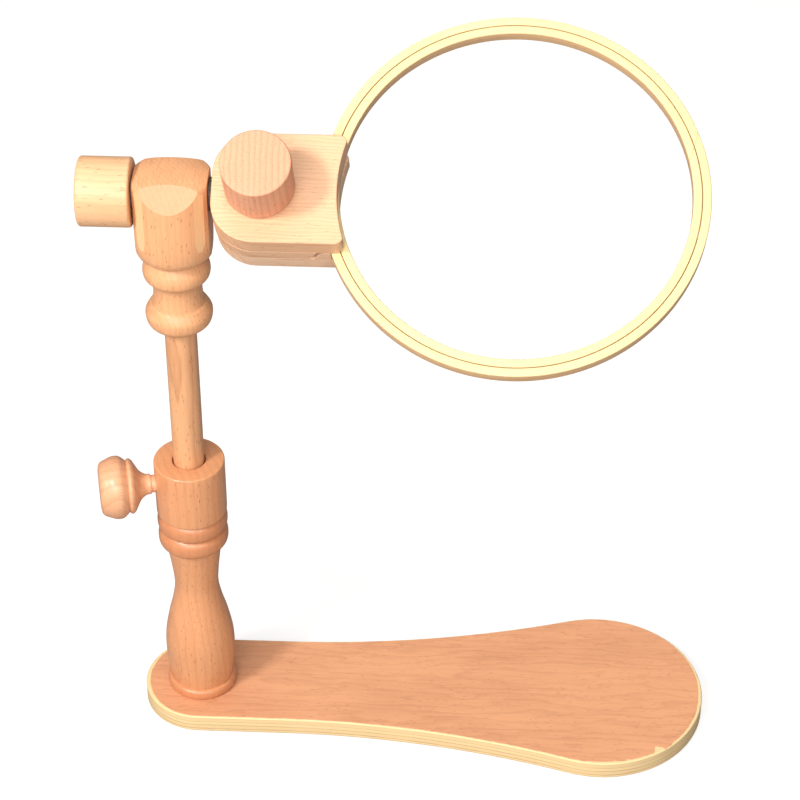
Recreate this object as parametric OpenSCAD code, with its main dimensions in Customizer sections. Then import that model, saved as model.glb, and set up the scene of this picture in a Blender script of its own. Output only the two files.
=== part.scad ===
// Embroidery hoop on a stand: a plywood foot, a turned post, a sliding rod,
// a turned head, a two-jaw clamp with wooden knobs and a two-ring hoop.
// Origin at the middle of the foot's underside, Z up, X along the foot.

/* [Foot] */
// overall length of the plywood foot
foot_len = 334; // [270:1:420]
// width of its narrow end, under the post
foot_narrow_w = 68; // [64:1:90]
// width of its wide end
foot_wide_w = 124; // [100:1:150]
// overall thickness
foot_t = 12; // [9:0.5:18]
// thickness of each face veneer
veneer_t = 0.8; // [0.5:0.1:1.5]
// how far the veneers stop short of the edge
veneer_inset = 0.9; // [0.3:0.1:2]
// straight length of the waist, from the post axis
waist_len = 50; // [30:1:80]

/* [Post] */
// height of the turned post above the foot
post_h = 170; // [140:1:210]
// radius of the socket cylinder at its top
socket_r = 20.1; // [17:0.1:24]
// length of the plain socket cylinder
socket_len = 36.4; // [30:0.1:50]
// height of each of the two beads under the socket
bead_h = 11.6; // [8:0.1:14]
// depth of the groove beside each bead
bead_groove = 2.5; // [1:0.1:3.5]
// radius at the thinnest place of the neck
neck_r = 12.8; // [11.5:0.1:16]
// radius of the belly
belly_r = 20.3; // [17:0.1:26]
// height of the ring at the foot of the post
foot_ring_h = 6.5; // [4:0.1:10]
// depth of the rod socket
socket_depth = 85; // [70:1:95]
// radial slack of the rod in the socket
socket_slack = 0.75; // [0.4:0.05:1]

/* [Post screw] */
// depth of the screw's axis below the top of the post
post_screw_drop = 15.2; // [14:0.1:24]
// turn of the screw from the back end of the foot, towards the front
post_screw_turn = 12; // [0:1:40]
// radius of the screw's shank
post_screw_r = 5; // [4:0.1:6]
// largest radius of its turned handle
post_screw_bulb_r = 18; // [14:0.1:22]
// distance of the handle's end from the post axis
post_screw_reach = 51.5; // [48:0.5:60]

/* [Rod] */
// diameter of the rod
rod_d = 17.5; // [14:0.1:18]
// length of the rod
rod_len = 191.5; // [170:0.5:210]
// length of the rod inside the post socket at rest
rod_in_post = 53; // [45:1:70]

/* [Head] */
// width of the head block between its two side faces
head_w = 39.2; // [36:0.1:44]
// how far the turned front and back stand out beyond the two flat sides
head_swell = 2.7; // [2:0.1:4]
// width of the flat planed on each corner
head_chamfer = 6.2; // [4:0.1:8]
// height of the turned neck under the block
head_neck_h = 49.5; // [46:0.5:60]
// height of the block at its side faces
head_block_h = 45; // [42:0.5:56]
// rise of the domed top over its middle
head_dome = 5.5; // [3:0.1:8]
// radius of the beads on the neck
head_bead_r = 18.2; // [16:0.1:20]
// radius at the hollow between the beads
head_cove_r = 13.2; // [12:0.1:15]
// depth of the rod socket in the head
head_socket = 46; // [38:0.5:50]
// height of the tilt bolt above the bottom of the block
tilt_up = 35.8; // [30:0.1:38]

/* [Tilt joint] */
// diameter of the tilt bolt
tilt_bolt_d = 6; // [5:0.5:6.5]
// thickness of the washer between head and jaws
side_washer_t = 2.4; // [1.5:0.1:3]
// radius of the tilt knob
tilt_knob_r = 18.5; // [15:0.1:22]
// length of the tilt knob
tilt_knob_len = 28; // [24:0.5:34]
// angle of the hoop's face from level, towards the front
hoop_tilt = 33; // [0:1:60]

/* [Jaws] */
// width of both jaws
jaw_w = 61; // [54:0.5:70]
// radius of the rounded corners at the head end
jaw_nose_r = 22.3; // [16:0.1:26]
// length of the jaws
jaw_len = 69; // [64:0.5:76]
// thickness of the upper jaw
upper_jaw_t = 13.2; // [10:0.1:16]
// thickness of the lower jaw
lower_jaw_t = 10.9; // [8:0.1:14]
// thickness of the spacer between them
spacer_t = 8; // [7:0.1:10]
// offset of the jaws across the tilt bolt's line
jaw_offset = -2.8; // [-4:0.1:4]
// distance of the clamp bolt from the head end of the jaws
clamp_bolt_at = 25; // [22:0.5:30]
// width of the hollow for the hoop's own screw
hollow_w = 46; // [40:0.5:48]

/* [Clamp bolt] */
// diameter of the clamp bolt
clamp_bolt_d = 8; // [6:0.5:8]
// radius of the clamp knob
clamp_knob_r = 18.3; // [15:0.1:21]
// height of the clamp knob
clamp_knob_h = 29; // [24:0.5:34]

/* [Hoop] */
// outer diameter of the hoop
hoop_d = 202; // [165:1:250]
// thickness of the outer ring's wall
outer_wall = 4.7; // [3.5:0.1:6]
// thickness of the inner ring's wall
inner_wall = 4.7; // [3.5:0.1:6]
// offset of the hoop's centre across the tilt bolt's line
hoop_offset = 3.4; // [-4:0.1:4]
// gap at the split of the outer ring
split_gap = 5; // [3:0.5:8]
// diameter of the hoop's own screw
hoop_screw_d = 4; // [3:0.5:5]

/* [Hidden] */
$fn = 96;
play = 0.3;
fit = 0.05;
eps = 0.01;
post_x = -foot_len / 2 + foot_narrow_w / 2;
wide_r = foot_wide_w / 2;
end_r = foot_narrow_w / 2;
wide_x = foot_len / 2 - wide_r;
flare_x = post_x + waist_len;
flare_run = wide_x - flare_x;
flare_r = (flare_run * flare_run / (wide_r - end_r) - wide_r - end_r) / 2;
tangent_x = wide_x - wide_r * flare_run / (wide_r + flare_r);
post_top = foot_t + post_h;
rod_r = rod_d / 2;
rod_z = post_top - rod_in_post;
head_z = rod_z + rod_len - head_socket + 1;
block_z = head_z + head_neck_h;
tilt_z = block_z + tilt_up;
head_half = head_w / 2;
screw_z = post_top - post_screw_drop;
head_r = head_half + head_swell;
head_side = sqrt(head_r * head_r - head_chamfer * head_chamfer / 4);
head_lean = 35;
head_cut = 8.5;
base_screw_r = 2.1;
base_screw_head_r = 4.4;
base_screw_len = 42;
nose_s = head_half + play + side_washer_t;
jaw_end_s = nose_s + jaw_len;
jaw_half = jaw_w / 2;
jaw_corner_r = 4.5;
spacer_k = spacer_t / 2;
lower_top_k = -spacer_k - play;
lower_bottom_k = lower_top_k - lower_jaw_t;
upper_top_k = spacer_k + upper_jaw_t;
hoop_r = hoop_d / 2;
hoop_depth = spacer_t - play;
ring_gap = 0.1;
inner_out_r = hoop_r - outer_wall - ring_gap;
hoop_in_r = inner_out_r - inner_wall;
hoop_s = jaw_end_s - 3.8 + hoop_in_r;
bite_r = hoop_in_r + 0.4;
hollow_s = hoop_s - hoop_r - 17;
spacer_end_s = hoop_s - hoop_r - 5;
step_lean = 4.4;
step_angle = atan(step_lean / spacer_t);
rim_gap = 2.8;
clamp_s = nose_s + clamp_bolt_at;
tilt_bolt_r = tilt_bolt_d / 2;
tilt_hole_r = tilt_bolt_r + play;
clamp_bolt_r = clamp_bolt_d / 2;
clamp_hole_r = clamp_bolt_r + play;
washer_t = 1.2;
tilt_washer_t = 0.7;
washer_r = 8;
insert_wall = 2;
insert_len = 15;
tilt_bolt_in = 12;
tilt_washer_s = -head_half - play;
tilt_knob_s = tilt_washer_s - tilt_washer_t;
bolt_head_r = 8;
bolt_head_h = 4;
knob_base_k = upper_top_k + washer_t + play;
lug_t = 1.6;
lug_out = 11;
lug_w = 7;
hoop_screw_r = hoop_screw_d / 2;
lug_face = split_gap / 2 + 1;
hoop_screw_s = hoop_s - hoop_r - lug_out / 2 - 1.2;
hoop_head_r = 3.2;
hoop_nut_t = 3;
hoop_head_t = 4;
beech = [0.87, 0.62, 0.38];
beech_pale = [0.93, 0.73, 0.48];
veneer_col = [0.78, 0.48, 0.30];
ply_col = [0.93, 0.82, 0.58];
hoop_col = [0.96, 0.86, 0.60];
steel = [0.72, 0.72, 0.74];
brass_col = [0.80, 0.62, 0.30];

// A smooth curve through a list of points, four steps to each span.
function blend(a, b, c, d, t) =
    0.5 * (2 * b + (c - a) * t + (2 * a - 5 * b + 4 * c - d) * t * t
    + (3 * b - a - 3 * c + d) * t * t * t);

function curve(p) = concat(
    [for (i = [0 : len(p) - 2]) for (j = [0 : 3])
        blend(p[max(i - 1, 0)], p[i], p[i + 1], p[min(i + 2, len(p) - 1)], j / 4)],
    [p[len(p) - 1]]);

// An arc of points about a centre, from angle a to angle b.
function bow(cx, cy, r, a, b) = [for (i = [0 : 6]) [cx + r * cos(a + (b - a) * i / 6), cy + r * sin(a + (b - a) * i / 6)]];

// The belly and neck of the post, from the foot ring up to the beads.
vase_z = foot_t + foot_ring_h;
vase_h = post_top - socket_len - 2 * bead_h - vase_z;
vase_at = [[0, 0.70], [0.10, 0.91], [0.22, 1], [0.33, 0.93], [0.46, 0.61], [0.56, 0.27], [0.66, 0.02],
           [0.74, 0.01], [0.87, 0.19], [1, 0.45]];
vase = curve([for (p = vase_at) [neck_r + p[1] * (belly_r - neck_r), vase_z + p[0] * vase_h]]);
ring_mid = vase_z - foot_ring_h / 2;
foot_ring = [[socket_r - 0.6, foot_t], [socket_r + 0.1, foot_t + 0.8], [socket_r + 0.4, ring_mid],
             [socket_r, vase_z - 0.9], [socket_r - 1, vase_z - 0.1]];
bead_z = vase_z + vase_h;
function bead(z, r, h, d) = curve([[r - d, z], [r - d * 0.6, z + h * 0.07], [r - d * 0.13, z + h * 0.22],
                                   [r, z + h * 0.48], [r - d * 0.13, z + h * 0.74],
                                   [r - d * 0.6, z + h * 0.92], [r - d, z + h]]);
socket_z = bead_z + 2 * bead_h;
post_line = concat([[0, foot_t]], foot_ring, vase, bead(bead_z, socket_r, bead_h, bead_groove),
                   bead(bead_z + bead_h, socket_r, bead_h, bead_groove),
                   [[socket_r - 0.2, socket_z + 0.9], [socket_r, socket_z + 2]],
                   bow(socket_r - 0.8, post_top - 0.8, 0.8, 0, 90), [[0, post_top]]);

// The outline of the foot, a given inset from its edge.
module foot_shape(z, t, inset) {
    translate([post_x, 0, z]) cylinder(r = end_r - inset, h = t);
    translate([post_x, inset - end_r, z]) cube([waist_len, foot_narrow_w - 2 * inset, t]);
    translate([wide_x, 0, z]) cylinder(r = wide_r - inset, h = t, $fn = 128);
    difference() {
        translate([flare_x, -wide_r, z]) cube([tangent_x - flare_x, foot_wide_w, t]);
        for (side = [-1, 1])
            translate([flare_x, side * (end_r + flare_r), z - 1])
                cylinder(r = flare_r + inset, h = t + 2, $fn = 360);
    }
}

module base_screw_hole(r) {
    translate([post_x, 0, -1]) cylinder(r = r, h = foot_t + 2);
}

module base_core() {
    color(ply_col) difference() {
        foot_shape(veneer_t, foot_t - 2 * veneer_t, 0);
        base_screw_hole(base_screw_r);
        translate([post_x, 0, veneer_t])
            cylinder(r1 = base_screw_head_r, r2 = base_screw_r, h = base_screw_head_r - base_screw_r);
    }
}

module base_top_veneer() {
    color(veneer_col) difference() {
        foot_shape(foot_t - veneer_t, veneer_t, veneer_inset);
        base_screw_hole(base_screw_r);
    }
}

module base_bottom_veneer() {
    color(veneer_col) difference() {
        foot_shape(0, veneer_t, veneer_inset);
        base_screw_hole(base_screw_head_r);
    }
}

module base_screw() {
    color(steel) translate([post_x, 0, veneer_t]) difference() {
        union() {
            cylinder(r1 = base_screw_head_r, r2 = base_screw_r, h = base_screw_head_r - base_screw_r);
            cylinder(r = base_screw_r, h = base_screw_len - base_screw_r);
            translate([0, 0, base_screw_len - base_screw_r]) cylinder(r1 = base_screw_r, r2 = 0.2, h = base_screw_r);
        }
        for (a = [0, 90])
            rotate([0, 0, a]) translate([-2.4, -0.5, -1]) cube([4.8, 1, 2.4]);
    }
}

module screw_frame() {
    translate([post_x, 0, screw_z]) rotate([0, 0, 180 + post_screw_turn]) rotate([0, 90, 0]) children();
}

module post() {
    color(beech) difference() {
        translate([post_x, 0, 0]) rotate_extrude() polygon(post_line);
        translate([post_x, 0, post_top - socket_depth]) cylinder(r = rod_r + socket_slack, h = socket_depth + 1);
        screw_frame() cylinder(r = post_screw_r + play, h = socket_r + 5);
        base_screw_hole(base_screw_r);
        translate([post_x, 0, foot_t]) cylinder(r = base_screw_r, h = base_screw_len - foot_t + 1.5);
    }
}

// The handle is turned: neck, bead, bulb and a nearly flat end.
module post_screw() {
    b = post_screw_bulb_r;
    e = post_screw_reach;
    n = socket_r + 2.2;
    flare = curve([[post_screw_r + 0.9, n + 0.5], [post_screw_r + 1.1, n + 3], [b * 0.46, n + 6],
                   [b * 0.66, n + 8.2], [b * 0.80, n + 9.6]]);
    ring = curve([[b * 0.84, n + 10.3], [b * 0.875, n + 11.4], [b * 0.86, n + 12.6], [b * 0.81, n + 13.2]]);
    bulb = curve([[b * 0.86, n + 14], [b * 0.97, n + 16.6], [b, n + 19], [b * 0.985, n + 21.5],
                  [b * 0.93, e - 5], [b * 0.85, e - 1.9], [b * 0.76, e - 0.5]]);
    color(beech) screw_frame() rotate_extrude()
        polygon(concat([[0, rod_r + play], [post_screw_r - 0.5, rod_r + play],
                        [post_screw_r, rod_r + play + 0.5], [post_screw_r, n], [post_screw_r + 0.6, n]],
                       flare, ring, bulb, [[b * 0.6, e], [0, e]]));
}

module rod() {
    color(beech_pale) translate([post_x, 0, rod_z]) rotate_extrude()
        polygon([[0, 0], [rod_r - 1, 0], [rod_r, 1], [rod_r, rod_len - 1], [rod_r - 1, rod_len], [0, rod_len]]);
}

// The head is one turned piece: a beaded neck under a round block with flat sides and a low dome.
module head_block() {
    b = head_bead_r;
    c = head_cove_r;
    h = head_neck_h;
    under = b - 2.8;
    neck = concat([[0, 0], [rod_r + 2, 0]],
                  curve([[rod_r + 2.8, 0.3], [b * 0.80, 2.4], [b * 0.95, 5.4], [b, h * 0.20], [b * 0.97, h * 0.255],
                         [b * 0.85, h * 0.33]]),
                  curve([[b * 0.79, h * 0.345], [c + 0.4, h * 0.41], [c, h * 0.5], [c + 0.3, h * 0.58],
                         [c + 1.6, h * 0.655]]),
                  curve([[b * 0.88, h * 0.665], [b * 0.97, h * 0.705], [b, h * 0.77], [b * 0.975, h * 0.83],
                         [b * 0.90, h * 0.89], [under, h * 0.93]]),
                  [[under, h + 1], [0, h + 1]]);
    t = head_block_h;
    r = head_r;
    turned = concat([[0, 0], [r - 3, 0]], curve([[r - 2.3, 0.6], [r - 1.1, 3.4], [r - 0.3, 8.5], [r, 15]]),
                    curve([[r, t - 1], [r - 0.4, t + 1], [r - 1.8, t + head_dome * 0.44],
                           [r * 0.66, t + head_dome * 0.78], [r * 0.33, t + head_dome * 0.95], [0, t + head_dome]]));
    color(beech) translate([post_x, 0, head_z]) difference() {
        union() {
            rotate_extrude() polygon(neck);
            translate([0, 0, h]) intersection() {
                rotate_extrude() polygon(turned);
                translate([-head_half, -head_w, 0]) cube([head_w, 2 * head_w, t + head_dome]);
                rotate([0, 0, 45]) translate([-head_side, -head_side, 0]) cube([2 * head_side, 2 * head_side, t + head_dome]);
                translate([0, -r, t - head_cut]) rotate([-head_lean, 0, 0]) translate([-head_w, 0, -2 * t])
                    cube([2 * head_w, 3 * head_w, 4 * t]);
                translate([0, r, t - head_cut]) rotate([head_lean, 0, 0]) translate([-head_w, -3 * head_w, -2 * t])
                    cube([2 * head_w, 3 * head_w, 4 * t]);
            }
        }
        translate([0, 0, -1]) cylinder(r = rod_r + fit, h = head_socket + 1);
        translate([-head_w, 0, h + tilt_up]) rotate([0, 90, 0]) cylinder(r = tilt_hole_r, h = 2 * head_w);
    }
}

// Everything from here on is drawn about the tilt bolt and turned with the hoop.
module tilted() {
    translate([post_x, 0, tilt_z]) rotate([hoop_tilt, 0, 0]) children();
}

module along_bolt(s) {
    translate([s, 0, 0]) rotate([0, 90, 0]) children();
}

module at_clamp(k) {
    translate([clamp_s, jaw_offset, k]) children();
}

module side_washer() {
    color(steel) tilted() along_bolt(nose_s - side_washer_t) difference() {
        cylinder(r = washer_r + 1, h = side_washer_t);
        translate([0, 0, -1]) cylinder(r = tilt_bolt_r + fit, h = side_washer_t + 2);
    }
}

module tilt_bolt() {
    start = tilt_knob_s - insert_len;
    color(steel) tilted() along_bolt(start) rotate_extrude()
        polygon([[0, 0], [tilt_bolt_r - 0.6, 0], [tilt_bolt_r, 0.6], [tilt_bolt_r, nose_s + tilt_bolt_in - start - 0.6],
                 [tilt_bolt_r - 0.6, nose_s + tilt_bolt_in - start], [0, nose_s + tilt_bolt_in - start]]);
}

module tilt_washer() {
    color(steel) tilted() along_bolt(tilt_knob_s) difference() {
        cylinder(r = washer_r + 1, h = tilt_washer_t);
        translate([0, 0, -1]) cylinder(r = tilt_hole_r, h = tilt_washer_t + 2);
    }
}

// A plain turned knob standing on its base, with a blind hole for its insert.
module knob(r, h, edge_low, edge_high, bolt_r) {
    difference() {
        rotate_extrude()
            polygon(concat([[0, 0]], bow(r - edge_low, edge_low, edge_low, -90, 0),
                           bow(r - edge_high, h - edge_high, edge_high, 0, 90), [[0, h]]));
        translate([0, 0, -1]) cylinder(r = bolt_r + insert_wall, h = insert_len + 3);
    }
}

module knob_insert(bolt_r) {
    difference() {
        cylinder(r = bolt_r + insert_wall, h = insert_len);
        translate([0, 0, -1]) cylinder(r = bolt_r + fit, h = insert_len + 2);
    }
}

module tilt_knob() {
    color(beech_pale) tilted() along_bolt(tilt_knob_s) mirror([0, 0, 1]) knob(tilt_knob_r, tilt_knob_len, 1.4, 1.6, tilt_bolt_r);
}

module tilt_knob_insert() {
    color(brass_col) tilted() along_bolt(tilt_knob_s) mirror([0, 0, 1]) knob_insert(tilt_bolt_r);
}

// The plan of both jaws: a rounded head end and an end hollowed to the hoop.
module jaw_plan(k, t, back, end_s) {
    n = nose_s + back;
    r = jaw_nose_r;
    c = jaw_corner_r;
    translate([0, jaw_offset, k]) difference() {
        union() {
            for (side = [-1, 1]) {
                translate([n + r, side * (jaw_half - r), 0]) cylinder(r = r, h = t);
                translate([end_s - c, side * (jaw_half - c), 0]) cylinder(r = c, h = t);
            }
            translate([n, r - jaw_half, 0]) cube([r + eps, jaw_w - 2 * r, t]);
            translate([n + r, -jaw_half, 0]) cube([end_s - c - n - r, jaw_w, t]);
            translate([end_s - c, c - jaw_half, 0]) cube([c, jaw_w - 2 * c, t]);
        }
        translate([hoop_s, 0, -1]) cylinder(r = bite_r, h = t + 2, $fn = 256);
    }
}

module tilt_bolt_hole() {
    along_bolt(nose_s - 1) cylinder(r = tilt_bolt_r, h = tilt_bolt_in + 2);
}

module upper_jaw() {
    color(beech_pale) tilted() difference() {
        jaw_plan(spacer_k, upper_jaw_t, 0, jaw_end_s);
        at_clamp(spacer_k - 1) cylinder(r = clamp_hole_r, h = upper_jaw_t + 2);
    }
}

// The spacer is a U: closed at the head end, open where the hoop's screw sits.
module jaw_spacer() {
    color(beech) tilted() difference() {
        jaw_plan(-spacer_k, spacer_t, 0, jaw_end_s);
        translate([hollow_s, jaw_offset - hollow_w / 2, -spacer_k - 1]) cube([jaw_len, hollow_w, spacer_t + 2]);
        translate([spacer_end_s, jaw_offset - jaw_w, -spacer_k]) rotate([0, step_angle, 0])
            translate([0, 0, -jaw_len]) cube([2 * jaw_len, 2 * jaw_w, 2 * jaw_len]);
        at_clamp(-spacer_k - 1) cylinder(r = clamp_hole_r, h = spacer_t + 2);
        tilt_bolt_hole();
    }
}

// The lower jaw carries two raised pads that the hoop's outer wall rests against.
module lower_jaw() {
    pad_h = spacer_t - 0.2;
    color(beech) tilted() difference() {
        union() {
            jaw_plan(lower_bottom_k, lower_jaw_t, 0.6, jaw_end_s);
            difference() {
                jaw_plan(lower_top_k - eps, pad_h + eps, 0.6, jaw_end_s);
                translate([spacer_end_s + rim_gap, jaw_offset - jaw_w, -spacer_k]) rotate([0, step_angle, 0])
                    translate([-2 * jaw_len, 0, -2 * jaw_len]) cube([2 * jaw_len, 2 * jaw_w, 4 * jaw_len]);
                translate([hoop_s, hoop_offset, lower_top_k - 1]) cylinder(r = hoop_r + play, h = 3 * spacer_t, $fn = 256);
                translate([hollow_s, jaw_offset - hollow_w / 2, lower_top_k - 1]) cube([jaw_len, hollow_w, 3 * spacer_t]);
            }
        }
        at_clamp(lower_bottom_k - 1) cylinder(r = clamp_bolt_r + fit, h = lower_jaw_t + 2);
        at_clamp(lower_bottom_k - 1) cylinder(r = bolt_head_r + fit, h = bolt_head_h + 1.2);
    }
}

module clamp_bolt() {
    tip = knob_base_k + insert_len - lower_bottom_k;
    color(steel) tilted() at_clamp(lower_bottom_k) difference() {
        rotate_extrude()
            polygon([[0, 0.2], [bolt_head_r - 0.8, 0.2], [bolt_head_r, 1], [bolt_head_r, bolt_head_h + 0.2],
                     [clamp_bolt_r, bolt_head_h + 0.2], [clamp_bolt_r, tip - 0.6], [clamp_bolt_r - 0.6, tip], [0, tip]]);
        translate([0, 0, -1]) cylinder(r = 2.9, h = 3.6, $fn = 6);
    }
}

module clamp_washer() {
    color(steel) tilted() at_clamp(upper_top_k) difference() {
        cylinder(r = washer_r + 2, h = washer_t);
        translate([0, 0, -1]) cylinder(r = clamp_hole_r, h = washer_t + 2);
    }
}

module clamp_knob() {
    color(beech_pale) tilted() at_clamp(knob_base_k) knob(clamp_knob_r, clamp_knob_h, 1.2, 1, clamp_bolt_r);
}

module clamp_knob_insert() {
    color(brass_col) tilted() at_clamp(knob_base_k) knob_insert(clamp_bolt_r);
}

module ring(r_out, r_in) {
    difference() {
        cylinder(r = r_out, h = hoop_depth, $fn = 256);
        translate([0, 0, -1]) cylinder(r = r_in, h = hoop_depth + 2, $fn = 256);
    }
}

module at_hoop() {
    tilted() translate([hoop_s, hoop_offset, -spacer_k]) children();
}

module outer_ring() {
    color(hoop_col) at_hoop() difference() {
        ring(hoop_r, hoop_r - outer_wall);
        translate([-hoop_r - 5, -split_gap / 2, -1]) cube([outer_wall + 10, split_gap, hoop_depth + 2]);
    }
}

module inner_ring() {
    color(hoop_col) at_hoop() ring(inner_out_r, hoop_in_r);
}

// A bent metal lug on one end of the split outer ring.
module hoop_lug(side) {
    z = (hoop_depth - lug_w) / 2;
    color(steel) at_hoop() difference() {
        union() {
            intersection() {
                translate([0, 0, z]) difference() {
                    cylinder(r = hoop_r + lug_t, h = lug_w, $fn = 256);
                    translate([0, 0, -1]) cylinder(r = hoop_r, h = lug_w + 2, $fn = 256);
                }
                translate([-hoop_r - 5, side > 0 ? lug_face : -lug_face - 11, 0]) cube([20, 11, hoop_depth]);
            }
            translate([-hoop_r - lug_out, side > 0 ? lug_face : -lug_face - lug_t, z]) cube([lug_out, lug_t, lug_w]);
        }
        translate([hoop_screw_s - hoop_s, 0, hoop_depth / 2]) rotate([90, 0, 0])
            cylinder(r = hoop_screw_r + play, h = 40, center = true);
        translate([0, 0, -1]) cylinder(r = hoop_r, h = hoop_depth + 2, $fn = 256);
    }
}

module hoop_lug_front() {
    hoop_lug(-1);
}

module hoop_lug_back() {
    hoop_lug(1);
}

module on_hoop_screw(v) {
    at_hoop() translate([hoop_screw_s - hoop_s, v, hoop_depth / 2]) rotate([-90, 0, 0]) children();
}

module hoop_screw() {
    head = -lug_face - lug_t - play - hoop_head_t;
    tail = lug_face + lug_t + hoop_nut_t + 2.4;
    color(brass_col) on_hoop_screw(head) difference() {
        union() {
            cylinder(r = hoop_head_r, h = hoop_head_t);
            cylinder(r = hoop_screw_r, h = tail - head);
        }
        translate([-0.4, -hoop_head_r - 1, -1]) cube([0.8, 2 * hoop_head_r + 2, 2]);
    }
}

module hoop_nut() {
    color(brass_col) on_hoop_screw(lug_face + lug_t) difference() {
        cylinder(r = 3.7, h = hoop_nut_t, $fn = 6);
        translate([0, 0, -1]) cylinder(r = hoop_screw_r + fit, h = hoop_nut_t + 2);
    }
}

base_core();
base_top_veneer();
base_bottom_veneer();
base_screw();
post();
post_screw();
rod();
head_block();
side_washer();
tilt_bolt();
tilt_washer();
tilt_knob();
tilt_knob_insert();
upper_jaw();
jaw_spacer();
lower_jaw();
clamp_bolt();
clamp_washer();
clamp_knob();
clamp_knob_insert();
outer_ring();
inner_ring();
hoop_lug_front();
hoop_lug_back();
hoop_screw();
hoop_nut();
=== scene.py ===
# A table-top embroidery stand: a plywood foot, a turned post with a sliding rod,
# a turned head with a two-jaw clamp, and a two-ring hoop held in the clamp.
import bmesh
import bpy
from math import atan2, cos, degrees, hypot, pi, radians, sin
from mathutils import Matrix, Vector, noise


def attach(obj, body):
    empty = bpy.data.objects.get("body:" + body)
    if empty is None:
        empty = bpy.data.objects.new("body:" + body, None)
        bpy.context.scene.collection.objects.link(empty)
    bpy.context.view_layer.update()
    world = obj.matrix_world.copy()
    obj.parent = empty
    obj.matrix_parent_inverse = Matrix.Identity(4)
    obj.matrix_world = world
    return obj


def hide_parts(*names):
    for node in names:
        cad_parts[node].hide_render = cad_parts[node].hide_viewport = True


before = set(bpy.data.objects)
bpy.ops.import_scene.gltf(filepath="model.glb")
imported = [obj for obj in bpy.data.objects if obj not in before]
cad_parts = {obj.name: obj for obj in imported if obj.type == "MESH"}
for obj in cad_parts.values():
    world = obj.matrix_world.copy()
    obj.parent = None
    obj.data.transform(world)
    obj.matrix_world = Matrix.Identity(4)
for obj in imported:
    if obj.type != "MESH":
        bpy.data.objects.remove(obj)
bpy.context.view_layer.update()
bpy.ops.object.select_all(action="DESELECT")
scene = bpy.context.scene
scene.view_settings.view_transform = "Standard"
scene.view_settings.look = "None"

# ---------------------------------------------------------------- studio
# A white table top under a lamp at the front left, a broad soft one in front
# and a soft one overhead, with a narrow lamp at the right for the edges.
look_down, look_left = 38.07, 2.5
bpy.ops.object.camera_add(location=(0.03505, -1.12550, 1.11051),
                          rotation=(radians(90 - look_down), 0, radians(look_left)))
camera = bpy.context.object
camera.name = "camera"
camera.data.lens = 117.01
camera.data.sensor_width = 36
camera.data.clip_end = 60
scene.camera = camera

bpy.ops.mesh.primitive_plane_add(size=14, location=(0, 0, 0))
table_top = bpy.context.object
table_top.name = "table_top"
table_paper = bpy.data.materials.new("table_paper")
table_paper.use_nodes = True
sheet = table_paper.node_tree
paper = sheet.nodes["Principled BSDF"]
paper.inputs["Base Color"].default_value = (0.28, 0.28, 0.28, 1)
paper.inputs["Roughness"].default_value = 0.9
paper.inputs["Specular IOR Level"].default_value = 0.1
paper.inputs["Emission Color"].default_value = (1, 0.985, 0.97, 1)
paper_seen = sheet.nodes.new("ShaderNodeLightPath").outputs["Is Camera Ray"]
paper_glow = sheet.nodes.new("ShaderNodeMath")
paper_glow.operation = "MULTIPLY"
paper_glow.inputs[1].default_value = 0.79
sheet.links.new(paper_seen, paper_glow.inputs[0])
sheet.links.new(paper_glow.outputs[0], paper.inputs["Emission Strength"])
table_top.data.materials.append(table_paper)


def lamp(name, place, aim, width, height, watts, colour=(1, 1, 1)):
    bpy.ops.object.light_add(type="AREA", location=place)
    light = bpy.context.object
    light.name = name
    light.data.shape = "RECTANGLE"
    light.data.size, light.data.size_y = width, height
    light.data.energy, light.data.color = watts, colour
    light.rotation_euler = (Vector(aim) - Vector(place)).to_track_quat("-Z", "Y").to_euler()
    return light


lamp("key_lamp", (-1.30, -1.30, 1.95), (-0.02, 0, 0.18), 0.40, 0.40, 44, (1, 0.985, 0.96))
lamp("front_lamp", (-0.40, -2.00, 1.50), (-0.02, 0, 0.20), 1.6, 1.2, 44, (1, 0.99, 0.975))
lamp("top_lamp", (-0.10, 0.10, 2.20), (0, 0, 0.1), 1.2, 1.2, 12)
lamp("side_lamp", (0.9, -1.7, 1.1), (-0.05, 0, 0.25), 0.3, 0.8, 8)
room = bpy.data.worlds.new("white_room")
room.use_nodes = True
walls = room.node_tree.nodes["Background"]
walls_seen = room.node_tree.nodes.new("ShaderNodeLightPath").outputs["Is Camera Ray"]
walls_glow = room.node_tree.nodes.new("ShaderNodeMapRange")
walls_glow.inputs["To Min"].default_value = 0.22
walls_glow.inputs["To Max"].default_value = 1.0
room.node_tree.links.new(walls_seen, walls_glow.inputs["Value"])
room.node_tree.links.new(walls_glow.outputs[0], walls.inputs["Strength"])
walls.inputs["Color"].default_value = (1, 1, 1, 1)
scene.world = room

# ---------------------------------------------------------------- plywood foot
# The foot is sawn from light plywood and sanded round at its edge. A reddish
# beech veneer covers each face and stops just short of the edge, with a few
# tears and one chip at the front right where the saw lifted it.
mm = 0.001
# Along the foot: the middle of the narrow round, where the sides bow in, and
# the middle of the wide round. The bowed sides leave the straight ones and
# meet the wide round without a corner.
post_x, bow_x, toe_x = -133, -83, 105
heel_r, toe_r = 34, 62
straight, bow_run = bow_x - post_x, toe_x - bow_x
foot_bow_r = round((bow_run ** 2 + heel_r ** 2 - toe_r ** 2) / (2 * (toe_r - heel_r)), 2)
foot_bow_end = degrees(atan2(heel_r + foot_bow_r, bow_run))


def arc(cx, cy, r, start, end, step=2.0):
    """Points on an arc about (cx, cy), in millimetres, from one angle to another in degrees."""
    n = max(2, round(abs(end - start) / step))
    turn = [radians(start + (end - start) * i / n) for i in range(n + 1)]
    return [(cx + r * cos(a), cy + r * sin(a)) for a in turn]


def at(x, y, z):
    """A place, in millimetres."""
    return Matrix.Translation((x * mm, y * mm, z * mm))


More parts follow.
